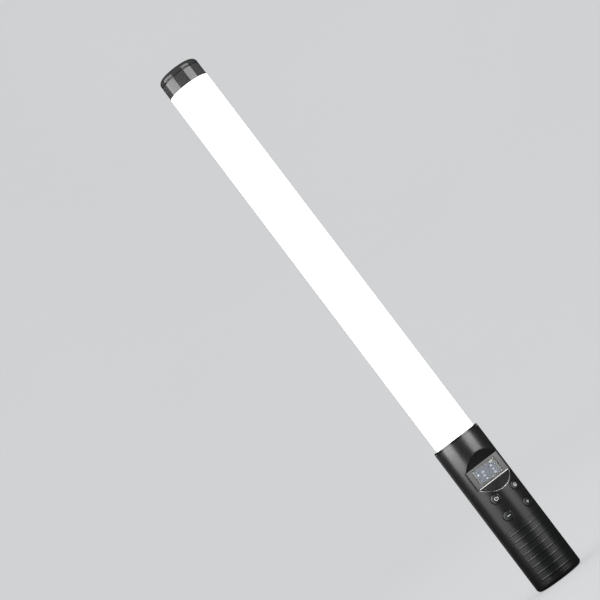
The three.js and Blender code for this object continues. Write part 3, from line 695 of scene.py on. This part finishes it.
def grip_pad(pad):
    """A curved rubber pad with rounded edges and rounded ribs across it.

    Its faces form a grid of rows, closer together over the ribs and the edges, and columns."""
    z0, z1 = z_range(pad["node"])
    outer, inner = HANDLE_R - 0.05, HANDLE_R - PAD_THICK
    edge = 0.18
    plain_margin = math.radians(2.2)
    rib_run_in = math.radians(1.7)
    first = (z0 + z1 - (pad["ribs"] - 1) * RIB_PITCH) / 2 - RIBS_BELOW_MIDDLE
    ribs = [first + i * RIB_PITCH for i in range(pad["ribs"])]
    rows = [z0 + edge * (1 - math.cos(math.pi / 2 * k / 4)) for k in range(5)]
    for z in ribs:
        rows += [z + RIB_HALF * math.sin(math.pi / 2 * k / 8) for k in range(-8, 9)]
        rows += [z + RIB_PITCH * share for share in (0.2, 0.35, 0.5, 0.65, 0.8)]
    rows = [z for z in rows if z < z1 - edge - 0.1]
    rows += [z1 - edge * (1 - math.cos(math.pi / 2 * (4 - k) / 4)) for k in range(5)]
    half = math.radians(pad["half_angle"])
    edge_angle = edge / outer
    fine = [edge_angle * (1 - math.cos(math.pi / 2 * k / 4)) for k in range(5)]
    fine += [edge_angle + math.radians(t) for t in (1, 1.6, 1.9, 2.2, 2.5, 2.9, 3.4, 4)]
    steps = round(pad["half_angle"] - 5)
    start, span = math.radians(5) - half, 2 * half - math.radians(10)
    even = [start + span * i / steps for i in range(steps + 1)]
    columns = [-half + t for t in fine] + even + [half - t for t in reversed(fine)]

    def radius(angle, z):
        across = min(half - abs(angle), edge_angle) / edge_angle
        along = min(z - z0, z1 - z, edge) / edge
        shoulder = sum(edge * (1 - math.sqrt(max(0, 1 - (1 - share) ** 2))) for share in (across, along))
        from_end = (half - abs(angle) - plain_margin) / rib_run_in
        fade = math.sqrt(1 - (1 - min(max(from_end, 0), 1)) ** 2)
        rib = max(math.sqrt(max(0, 1 - ((z - place) / RIB_HALF) ** 2)) for place in ribs)
        return outer - min(shoulder, 0.6) + RIB_PROUD * rib * fade

    bm = bmesh.new()

    def sheet(depth):
        """The grid's points at a constant radius, or on the ribbed face where depth is None."""
        grid = []
        for z in rows:
            line = []
            for angle in columns:
                r = radius(angle, z) if depth is None else depth
                a = math.radians(pad["turn"]) + angle
                line.append(bm.verts.new((r * math.cos(a) * MM, r * math.sin(a) * MM, z * MM)))
            grid.append(line)
        return grid

    top, bottom = sheet(None), sheet(inner)
    last_row, last_column = len(rows) - 1, len(columns) - 1
    for i in range(last_row):
        for j in range(last_column):
            bm.faces.new([top[i][j], top[i][j + 1], top[i + 1][j + 1], top[i + 1][j]])
            bm.faces.new([bottom[i][j], bottom[i + 1][j], bottom[i + 1][j + 1], bottom[i][j + 1]])
        for j in (0, last_column):
            bm.faces.new([top[i][j], top[i + 1][j], bottom[i + 1][j], bottom[i][j]])
    for j in range(last_column):
        for i in (0, last_row):
            bm.faces.new([top[i][j], bottom[i][j], bottom[i][j + 1], top[i][j + 1]])
    obj = make(pad["node"] + "_skin", bm)
    piece(finish(obj), "grip", stands_for=[pad["node"]])


# ---- Keys ----

def key_top(x, z, place):
    """Where a key's face is: it follows the handle, with a slight dome."""
    from_centre = math.hypot(x - place[0], z - place[1]) / KEY_R
    return -math.sqrt((HANDLE_R + 0.35) ** 2 - x * x) - 0.32 * (1 - from_centre ** 2)


def key_cap(name, place):
    """A round key: domed face, rolled edge, a flange inside the shell and a stem to the switch."""
    roll = 0.45
    wall = KEY_R - 0.02
    flange_r = KEY_R + 0.85
    flange_front, flange_back = 18.85, 18.0
    stem_r = 1.5
    rings = [(wall * k / 12 * (1 - roll / wall), None, 0) for k in range(13)]
    for k in range(1, 7):
        a = math.pi / 2 * k / 6
        rings.append((wall - roll + roll * math.sin(a), None, roll * (1 - math.cos(a))))
    flange = [
        (wall, flange_front),
        (flange_r, flange_front),
        (flange_r, flange_back),
        (stem_r, flange_back),
    ]
    rings += [(rho, radius, 0) for rho, radius in flange]
    bm = bmesh.new()
    loops = []
    for rho, radius, drop in rings:
        loop = []
        for x, z in circle(rho, 64 if rho else 1, *place):
            if radius is None:
                y = key_top(x, z, place) + drop
            else:
                y = min(-math.sqrt(radius ** 2 - x * x), KEY_END_Y - 0.4)
            loop.append(bm.verts.new((x * MM, y * MM, z * MM)))
        loops.append(loop)
    for spots in (circle(stem_r, 64, *place), [place]):
        loops.append([bm.verts.new((x * MM, KEY_END_Y * MM, z * MM)) for x, z in spots])
    bridge(bm, loops)
    return make(name + "_cap", bm)


def arc_band(radius, half, start, end):
    """The outline of part of a ring, between two angles in degrees."""
    turns = [math.radians(start + (end - start) * i / 40) for i in range(41)]
    outer, inner = radius + half, radius - half
    outline = [(outer * math.cos(t), outer * math.sin(t)) for t in turns]
    return outline + [(inner * math.cos(t), inner * math.sin(t)) for t in reversed(turns)]


def plus_sign(arm, half):
    """The outline of a cross: arm is each arm's length, half is half its width."""
    corner = [(half, half), (half, arm), (-half, arm)]
    turns = [Matrix.Rotation(math.pi / 2 * k, 2) for k in range(4)]
    return [tuple(turn @ Vector(p)) for turn in turns for p in corner]


MARK_HALF = 0.19  # half a mark's line width
KEY_MARKS = {
    "power_key": [
        arc_band(1.35, MARK_HALF, 122, 418),
        rectangle((-MARK_HALF, MARK_HALF), (0.35, 1.75)),
    ],
    "mode_key": [arc_band(1.4, MARK_HALF, 1, 359), circle(0.5, 24)],
    "down_key": [rectangle((-1.4, 1.4), (-MARK_HALF, MARK_HALF))],
    "up_key": [plus_sign(1.4, MARK_HALF)],
}


def under_face(place, offset):
    """What lies behind a key's face, moved in by offset, as a tool for cutting its mark."""
    bm = bmesh.new()
    steps, reach, back_y = 14, 3, -12
    loops = []
    for k in range(steps + 1):
        loop = []
        for x, z in circle(reach * k / steps, 48 if k else 1, *place):
            loop.append(bm.verts.new((x * MM, (key_top(x, z, place) + offset) * MM, z * MM)))
        loops.append(loop)
    loops.append([bm.verts.new((v.co.x, back_y * MM, v.co.z)) for v in loops[-1]])
    bridge(bm, loops)
    bm.faces.new(loops[-1])
    return make("under_face", bm)


def key_mark(name, place):
    """A printed mark, a hair's breadth proud of the key's face and sunk a little into it."""
    parts = []
    for outline in KEY_MARKS[name]:
        shifted = [(place[0] + a, place[1] + b) for a, b in outline]
        part = prism("part", shifted, along_y, (-25, -14))
        parts.append(carve(keep(part, under_face(place, -0.05)), under_face(place, 0.1)))
    return join(name + "_mark", parts)


def join(name, objects):
    """One object in place of several."""
    bm = bmesh.new()
    for obj in objects:
        bm.from_mesh(obj.data)
        bpy.data.objects.remove(obj)
    mesh = bpy.data.meshes.new(name)
    bm.to_mesh(mesh)
    bm.free()
    return link(name, mesh)


def keys():
    for name, place in zip(KEY_NAMES, KEY_PLACES):
        piece(finish(key_cap(name, place)), "key", name + "_body", [name])
        piece(finish(key_mark(name, place)), "mark", name + "_body")


# ---- Display ----

def bezel():
    """The display's frame: a flat border round the window, undercut at its two ends."""
    front, back = FLAT_Y, FLAT_Y + BEZEL_THICK - 0.05
    past_plate = (90, 120)
    thin_end, thin_from = 0.35, 14.3
    frame_plate = box("display_bezel_skin", (-20, 20), (front, back), z_range("display_bezel"))
    keep(frame_plate, bar_z("round", HANDLE_R - 0.1, past_plate))
    opening = round_box(WINDOW_HALF_W, WINDOW_HALF_H, 0.5, 0, WINDOW_Z)
    undercuts = [
        box("undercut", x, (front + thin_end, back + 1), past_plate)
        for x in ((-20, -thin_from), (thin_from, 20))
    ]
    carve(frame_plate, prism("opening", opening, along_y, (front - 1, back + 1)), *undercuts)
    piece(finish(frame_plate, 0.18), "bezel", stands_for=["display_bezel"])


def lens():
    half_w, half_h = WINDOW_HALF_W - 0.15, WINDOW_HALF_H - 0.15
    y = (low("display_lens").y, high("display_lens").y)
    plate = prism("display_lens_skin", round_box(half_w, half_h, 0.4, 0, WINDOW_Z), along_y, y)
    piece(finish(plate, 0.12), "lens", stands_for=["display_lens"])


SCREEN_HALF_W, SCREEN_HALF_H = 9.2, 5.6
SCREEN_Z = WINDOW_Z - 0.4
GLYPH_Y = (high("display_lens").y + 0.06, high("display_lens").y + 0.14)


def panel():
    """The display behind the window: a pale glass with a darker lit screen let into it."""
    box_low, box_high = low("display_panel"), high("display_panel")
    y = (box_low.y, box_high.y)
    outline = round_box(box_high.x, (box_high.z - box_low.z) / 2, 0.6, 0, WINDOW_Z)
    glass = prism("display_panel_skin", outline, along_y, y)
    pocket = round_box(SCREEN_HALF_W, SCREEN_HALF_H, 0.3, 0, SCREEN_Z)
    carve(glass, prism("pocket", pocket, along_y, (y[0] - 1, y[0] + 0.2)))
    piece(finish(glass, 0.1), "panel", stands_for=["display_panel"])
    half_w, half_h = SCREEN_HALF_W - 0.05, SCREEN_HALF_H - 0.05
    outline = round_box(half_w, half_h, 0.3, 0, SCREEN_Z)
    screen = prism("display_screen", outline, along_y, (y[0] + 0.02, y[0] + 0.19))
    piece(finish(screen, 0.02), "screen")


# Which bars of the seven each digit lights, by the names that digit() gives them
SEGMENTS = {
    "0": "abcdef", "1": "bc", "2": "abged", "3": "abgcd", "5": "afgcd", "6": "afgedc", "8": "abcdefg",
    "9": "abcdfg",
}


def bar_outline(a, b, along_width, half):
    """A seven-segment bar: a thin hexagon from one point towards another."""
    length = b[0] - a[0] if along_width else b[1] - a[1]
    far = length - half
    if along_width:
        shape = [(0, 0), (half, half), (far, half), (length, 0), (far, -half), (half, -half)]
    else:
        shape = [(0, 0), (-half, half), (-half, far), (0, length), (half, far), (half, half)]
    return [(a[0] + p, a[1] + q) for p, q in shape]


def digit(character, x, z, height):
    """The lit bars of one digit whose centre is at x, z."""
    half_w, half_h, half = height * 0.24, height / 2, height * 0.055
    gap = 0.04 * height
    west, east, south, north = x - half_w, x + half_w, z - half_h, z + half_h
    bars = {
        "a": ((west, north), (east, north), True),
        "g": ((west, z), (east, z), True),
        "d": ((west, south), (east, south), True),
        "f": ((west, z + gap), (west, north - gap), False),
        "b": ((east, z + gap), (east, north - gap), False),
        "e": ((west, south + gap), (west, z - gap), False),
        "c": ((east, south + gap), (east, z - gap), False),
    }
    return [bar_outline(*bars[s], half) for s in SEGMENTS[character]]


def number(text, x, z, height):
    """The lit bars of several digits, centred on x, z."""
    pitch = height * 0.72
    first = x - pitch * (len(text) - 1) / 2
    return [bar for i, c in enumerate(text) for bar in digit(c, first + i * pitch, z, height)]


def sun(x, z, radius):
    """A round dot with eight short rays."""
    out = [circle(radius, 24, x, z)]
    for k in range(8):
        turn = Matrix.Rotation(math.pi / 4 * k, 2)
        ray = rectangle((radius * 1.35, radius * 1.9), (-radius * 0.14, radius * 0.14))
        out.append([(x + (turn @ Vector(p)).x, z + (turn @ Vector(p)).y) for p in ray])
    return out


def battery_symbol(x, z, half_w, half_h):
    """A battery lying on its side: an outline, a nub at the right and three cells."""
    line = 0.14
    inner = half_w - line
    rails = [
        rectangle((x - half_w, x + half_w), (z + s * half_h - line / 2, z + s * half_h + line / 2))
        for s in (-1, 1)
    ]
    upright = (z - half_h + line / 2, z + half_h - line / 2)
    ends = [
        rectangle((x + s * half_w - line / 2, x + s * half_w + line / 2), upright) for s in (-1, 1)
    ]
    nub = rectangle((x + half_w + line / 2, x + half_w + 0.35), (z - half_h * 0.45, z + half_h * 0.45))
    cells = []
    for k in range(3):
        left = x - inner + 0.12 + k * (2 * inner - 0.1) / 3
        right = left + (2 * inner) / 3 - 0.2
        cells.append(rectangle((left, right), (z - half_h + 0.3, z + half_h - 0.3)))
    return rails + ends + [nub] + cells


def glyphs():
    """What the display shows: a battery symbol, a sun, and two columns of numbers."""
    white = []
    row_pitch = 3.15
    columns = [(-3.6, 1.4, 1.5, ("100", "56", "12")), (5.8, 1.6, 1.35, ("80", "35", "09"))]
    for x, above, height, texts in columns:
        for row, text in enumerate(texts):
            white += number(text, x, WINDOW_Z + above - row_pitch * row, height)
    white += sun(-8.1, WINDOW_Z + 1.3, 0.58)
    white.append(circle(0.22, 16, -8.0, WINDOW_Z + 3.7))
    warm = battery_symbol(7.6, WINDOW_Z + 4.4, 1.3, 0.6)
    for name, outlines, kind in (
        ("display_numbers", white, "glyph"), ("display_battery_symbol", warm, "glyph_warm")
    ):
        parts = [prism("bar", outline, along_y, GLYPH_Y) for outline in outlines]
        piece(finish(join(name, parts)), kind)


def trim():
    """A satin bar under the display and a thin arc round the lower ramp's edge, in one piece."""
    rise = HANDLE_R + FLAT_Y
    slope = RAMP / rise
    y = (FLAT_Y - 0.45, FLAT_Y + 1)
    bar = box("display_trim_skin", (-15.2, 15.2), y, (FLAT_BOTTOM + 0.15, FLAT_BOTTOM + 1.05))
    arc_half, steps = 46, 64
    path = []
    for i in range(steps + 1):
        a = math.radians(-arc_half + 2 * arc_half * i / steps)
        out = HANDLE_R * math.cos(a)
        path.append((HANDLE_R * math.sin(a), -out, FLAT_BOTTOM + 0.6 - slope * (out + FLAT_Y)))
    add(bar, sweep("arc", path, 0.3))
    piece(finish(bar, 0.12, 2), "chrome", stands_for=["display_trim"])


# ---- Charging port ----

def port():
    """A USB-C port: a steel shell with an oval mouth and a tongue in it."""
    outside = round_box(4.5, 1.6, 1.55, 0, PORT_Z, 12)
    mouth = round_box(4.15, 1.25, 1.2, 0, PORT_Z, 12)
    tongue = round_box(3.4, 0.35, 0.15, 0, PORT_Z, 3)
    shell = prism("usb_port_skin", outside, along_y, (PORT_BACK_Y, PORT_Y))
    carve(shell, prism("mouth", mouth, along_y, (PORT_BACK_Y + 0.8, 20)))
    add(shell, prism("tongue", tongue, along_y, (PORT_BACK_Y + 0.5, PORT_Y - 0.4)))
    piece(finish(shell, 0.08, 2), "steel", stands_for=["usb_port"])


def flap():
    """A rubber flap on its own small barrel, with a lip for a fingernail."""
    outer, inner = HANDLE_R - 0.05, HANDLE_R - FLAP_THICK
    half_angle = math.degrees(math.asin(FLAP_HALF_W / HANDLE_R)) + 2
    past_z = (FLAP_BOTTOM - 1, FLAP_TOP + 1)
    plate = sector("port_flap_skin", outer, inner, 90, half_angle, past_z)
    middle_z, half_h = (FLAP_BOTTOM + FLAP_TOP) / 2, (FLAP_TOP - FLAP_BOTTOM) / 2
    keep(plate, prism("corners", round_box(FLAP_HALF_W, half_h, 1.6, 0, middle_z), along_y, (10, 30)))
    finish(plate, 0.25)
    barrel = bar_x("barrel", 0.85, HINGE.y, HINGE.z, (-3, 3))
    neck = box("neck", (-3, 3), (HINGE.y - 0.35, HINGE.y + 0.5), (FLAP_TOP - 0.6, HINGE.z))
    lip_path = [(x, HANDLE_R - 0.17, FLAP_BOTTOM + 0.95) for x in (-2.6, 0, 2.6)]
    lip = sweep("lip", lip_path, 0.45)
    add(plate, barrel, neck, lip)
    piece(finish(plate), "rubber", "port_flap_body", ["port_flap"])


# ---- Fasteners and the tripod socket ----

def shell_screw(name):
    """A pan head screw with a cross recess and a thread, its head towards +Y."""
    x, z = middle(name).x, middle(name).z
    end, head_top = low(name).y, high(name).y
    head_bottom = head_top - 1.7
    head_r, shank_r, crest_r, root_r = 2.2, 1.0, 1.13, 0.9
    pitch = 0.7
    point_end = end + 0.8
    profile = [(0, end), (0.5, end, 0.15), (0.95, point_end)]
    turns = int((head_bottom - 1.5 - point_end) / pitch)
    for k in range(turns):
        y = point_end + k * pitch
        profile += [(root_r, y + 0.12), (crest_r, y + 0.35), (root_r, y + 0.58)]
    profile += [
        (shank_r, head_bottom - 0.6),
        (shank_r, head_bottom),
        (head_r, head_bottom, 0.12),
        (head_r, head_top - 0.75, 0.25),
        (1.75, head_top - 0.12, 0.4),
        (0, head_top),
    ]
    screw = lathe_y(name + "_skin", profile, x, z)
    slot_y = (head_top - 0.95, head_top + 1)
    cross = [(x + a, z + b) for a, b in plus_sign(1.25, 0.26)]
    carve(screw, prism("cross", cross, along_y, slot_y))
    piece(finish(screw), "steel", stands_for=[name])


def tripod_insert():
    """A brass insert with a blind threaded hole for a 1/4 inch tripod screw."""
    z0, z1 = z_range("tripod_insert")
    outer, waist = 5, 4.6
    pitch, crest, root = 1.27, 2.65, 3.2
    profile = [
        (3.7, z0),
        (outer, z0, 0.25),
        (outer, z0 + 3),
        (waist, z0 + 3.4),
        (waist, z0 + 6.6),
        (outer, z0 + 7),
        (outer, z1, 0.25),
        (0, z1),
        (0, z1 - 1),
        (root, z1 - 1),
    ]
    threads = []
    z = z0 + 0.6
    while z + pitch < z1 - 1.2:
        threads += [(root, z), (crest, z + pitch * 0.42), (crest, z + pitch * 0.58)]
        z += pitch
    profile += [(root, z)] + threads[::-1]
    insert = lathe("tripod_insert_skin", profile, closed=True, segments=72)
    piece(finish(insert), "brass", stands_for=["tripod_insert"])


# ---- Round pieces: butt cap, collar, tube and tip ----

def butt_cap():
    """The closed end: a rounded rim, a plug with a flange inside the shells, and the insert's bore."""
    bore_r, plug_r, flange_r, tower_r = 5.3, 17.2, 19, 8
    flange_bottom, flange_top = 6.2, 8.2
    rim_top, tower_top = 3.95, 11
    profile = [
        (bore_r, 0, 0.4),
        (HANDLE_R, 0, 3.4),
        (HANDLE_R, rim_top, 0.2),
        (plug_r, rim_top),
        (plug_r, flange_bottom),
        (flange_r, flange_bottom),
        (flange_r, flange_top),
        (tower_r, flange_top),
        (tower_r, tower_top),
        (bore_r, tower_top),
    ]
    cap = lathe("butt_cap_skin", profile, closed=True, steps=8)
    piece(finish(cap), "shell", stands_for=["butt_cap"])


def collar():
    """A ring that closes the handle round the tube, with a lip below that keeps the light in."""
    outer = HANDLE_R - 0.1
    profile = [
        (TUBE_R + 0.2, COLLAR_BOTTOM - 1),
        (COLLAR_LIP_R, COLLAR_BOTTOM - 1),
        (COLLAR_LIP_R, COLLAR_BOTTOM),
        (outer, COLLAR_BOTTOM, 0.2),
        (outer, COLLAR_TOP, 0.75),
        (TUBE_R + 0.2, COLLAR_TOP, 0.2),
    ]
    ring = lathe("tube_collar_skin", profile, closed=True)
    piece(finish(ring), "gloss", stands_for=["tube_collar"])


def diffuser():
    """The milky tube, open at both ends."""
    profile = [
        (TUBE_R - TUBE_WALL, TUBE_BOTTOM, 0.2),
        (TUBE_R, TUBE_BOTTOM, 0.2),
        (TUBE_R, TUBE_TOP, 0.2),
        (TUBE_R - TUBE_WALL, TUBE_TOP, 0.2),
    ]
    tube = lathe("diffuser_tube_skin", profile, closed=True)
    piece(finish(tube), "diffuser", stands_for=["diffuser_tube"])


def tip_cap():
    """The glossy cap: a plug in the tube with the seal's groove, and a neck under the dome."""
    cap_bottom, cap_top = TUBE_TOP + 0.1, high("tip_cap").z - 0.7
    plug_r = TUBE_R - TUBE_WALL - 0.3
    plug_bottom = low("tip_cap").z
    hollow_r, screw_hole_r, neck_r = 14, 1.7, TUBE_R - 1.2
    roof_thick, neck_height = 2.4, 0.7
    groove_r, groove_bottom, groove_top = 15.2, 495.8, 498.3
    profile = [
        (hollow_r, plug_bottom),
        (plug_r, plug_bottom, 0.3),
        (plug_r, groove_bottom),
        (groove_r, groove_bottom),
        (groove_r, groove_top),
        (plug_r, groove_top),
        (plug_r, cap_bottom),
        (TUBE_R, cap_bottom, 0.25),
        (TUBE_R, cap_top, 0.4),
        (neck_r, cap_top),
        (neck_r, cap_top + neck_height),
        (screw_hole_r, cap_top + neck_height),
        (screw_hole_r, cap_top - roof_thick),
        (hollow_r, cap_top - roof_thick),
    ]
    piece(finish(lathe("tip_cap_skin", profile, closed=True)), "cap", stands_for=["tip_cap"])


def tip_dome():
    """The end piece: a short straight side, then a quarter ellipse in to a flat crown."""
    crown_r, screw_r = 13.2, 1.2
    straight = DOME_BOTTOM + 1.2
    dome = [(0, TOP - 2), (screw_r, TOP - 2), (screw_r, DOME_BOTTOM), (TUBE_R, DOME_BOTTOM, 0.3)]
    for i in range(17):
        a = math.radians(90 * i / 16)
        r = crown_r + (TUBE_R - crown_r) * math.cos(a)
        dome.append((r, straight + (TOP - straight) * math.sin(a)))
    dome.append((0, TOP))
    piece(finish(lathe("tip_dome_skin", dome)), "cap", stands_for=["tip_dome"])


# ---- Studio ----

VIEW_AZIMUTH = -19.8  # degrees from -Y, where the photo's camera stands
AMBIENT = 0.44  # how strongly the paper glows by itself


def studio():
    """Pale paper: a floor that curves up into a wall and closes overhead."""
    flat_r, wall_r, wall_top, roof_rise = 2600, 6000, 5000, 2500
    curve_steps, roof_steps = 24, 12
    points = [(0, 0), (flat_r, 0)]
    for i in range(1, curve_steps + 1):
        a = math.radians(90 * i / curve_steps)
        points.append((flat_r + (wall_r - flat_r) * math.sin(a), wall_top * (1 - math.cos(a))))
    for i in range(1, roof_steps + 1):
        a = math.radians(90 * i / roof_steps)
        r = wall_r * math.cos(a) if i < roof_steps else 0
        points.append((r, wall_top + roof_rise * math.sin(a)))
    room = lathe("studio", points, segments=96)
    room.data.flip_normals()
    room.data.shade_smooth()
    m = Maker("studio_paper")
    colour = m.blend(m.spread(m.noise(900, 2), 0, 1), (0.3, 0.302, 0.306), (0.315, 0.317, 0.321))
    paper = m.set(
        colour=colour, roughness=0.9, specular=0.1, normal=m.bump(m.noise(1.5, 3), 0.05),
        emission=(0.98, 0.99, 1.0), strength=AMBIENT,
    )
    paper.cycles.emission_sampling = "NONE"
    room.data.materials.append(paper)
    room.visible_glossy = False
    return room


def leave_out(lamp, room):
    """Keeps a near light's pool off the floor."""
    others = bpy.data.collections.new(lamp.name + "_leaves_out")
    others.objects.link(room)
    others.collection_objects[0].light_linking.link_state = "EXCLUDE"
    lamp.light_linking.receiver_collection = others


def light_only(lamp, names):
    """Limits a light to the objects with these names."""
    chosen = bpy.data.collections.new(lamp.name + "_lights")
    for name in names:
        chosen.objects.link(bpy.data.objects[name])
    lamp.light_linking.receiver_collection = chosen


def softbox(name, azimuth, distance, half_angle, z, radiance):
    """A flat light that faces the object's axis from distance, half_angle degrees to each side.

    Its azimuth is in degrees from -Y, and z holds its lower and upper edge, in metres."""
    width = 2 * distance * math.tan(math.radians(half_angle))
    height = z[1] - z[0]
    light = bpy.data.lights.new(name, "AREA")
    light.shape = "RECTANGLE"
    light.size = width
    light.size_y = height
    light.energy = radiance * math.pi * width * height
    obj = link(name, light)
    a = math.radians(azimuth)
    away = Vector((math.sin(a), -math.cos(a), 0))
    obj.location = away * distance + Vector((0, 0, (z[0] + z[1]) / 2))
    obj.rotation_euler = away.to_track_quat("Z", "Y").to_euler()
    obj.visible_camera = False
    return obj


def lights(room):
    """Strips and dim boxes at the handle's sides, and lights for single pieces and groups."""
    sides = [
        softbox("left_strip", VIEW_AZIMUTH - 54, 0.2, 24, (0.128, 0.28), 12),
        softbox("right_strip", VIEW_AZIMUTH + 48, 0.2, 20, (0.128, 0.28), 12),
        softbox("left_low_box", VIEW_AZIMUTH - 56, 0.2, 23, (0.003, 0.128), 1.7),
        softbox("right_low_box", VIEW_AZIMUTH + 49, 0.2, 20, (0.003, 0.128), 1.7),
    ]
    for lamp in sides:
        leave_out(lamp, room)
    for side, azimuth, half in (("left", VIEW_AZIMUTH - 66, 31), ("right", VIEW_AZIMUTH + 51.4, 22)):
        cap_box = softbox(side + "_cap_box", azimuth, 0.6, half, (0.3, 0.66), 6)
        light_only(cap_box, ["tip_cap_skin"])
        dome_box = softbox(side + "_dome_box", azimuth, 0.6, half, (0.625, 1.1), 4.5)
        light_only(dome_box, ["tip_dome_skin"])
    rear = ["rear_shell_skin", "rear_grip_pad_skin", "port_flap_skin", "usb_port_skin"]
    rear += [name + "_skin" for name in SHELL_SCREWS]
    for name, azimuth, half in (("rear_left_box", 142, 13), ("rear_right_box", 235, 11)):
        light_only(softbox(name, azimuth, 0.13, half, (0.003, 0.3), 4), rear)
    top_height = 3.2
    top = softbox("top_softbox", 0, top_height, 6, (2.86, 3.54), 12)
    top.location = (0, 0, top_height)
    top.rotation_euler = (0, 0, 0)
    light_only(top, [room.name])
    world = bpy.data.worlds.new("dark_corners")
    world.use_nodes = True
    background = world.node_tree.nodes["Background"]
    background.inputs["Color"].default_value = (0.02, 0.021, 0.02, 1)
    world.cycles.sampling_method = "NONE"
    scene.world = world


def camera():
    """A long lens, level with the top of the handle, rolled so that the tube runs up to the left."""
    distance, height = 1.89, 0.143
    aim_side, aim_height = -0.03267, 0.30628
    roll = math.radians(37.056)
    a = math.radians(VIEW_AZIMUTH)
    away = Vector((math.sin(a), -math.cos(a), 0))
    side = Vector((math.cos(a), math.sin(a), 0))
    spot = away * distance + Vector((0, 0, height))
    aim = side * aim_side + Vector((0, 0, aim_height))
    data = bpy.data.cameras.new("camera")
    data.sensor_width = 36
    data.lens = 139.2
    data.clip_start = 0.05
    data.clip_end = 40
    obj = link("camera", data)
    look = (aim - spot).to_track_quat("-Z", "Y").to_matrix().to_4x4()
    obj.matrix_world = Matrix.Translation(spot) @ look @ Matrix.Rotation(-roll, 4, "Z")
    scene.camera = obj


# ---- Everything ----

camera()
front_shell()
rear_shell()
grip_pad(FRONT_PAD)
grip_pad(REAR_PAD)
keys()
bezel()
lens()
panel()
glyphs()
trim()
port()
flap()
for screw_name in SHELL_SCREWS:
    shell_screw(screw_name)
tripod_insert()
butt_cap()
collar()
diffuser()
tip_cap()
tip_dome()

slots = {row["node"]: row["material_slot"] for row in frame["record"]["subparts"]}
for node_name, node in frame["nodes"].items():
    if not node.hide_render:
        dress(node, slots[node_name])

lights(studio())
scene.view_settings.view_transform = "Standard"
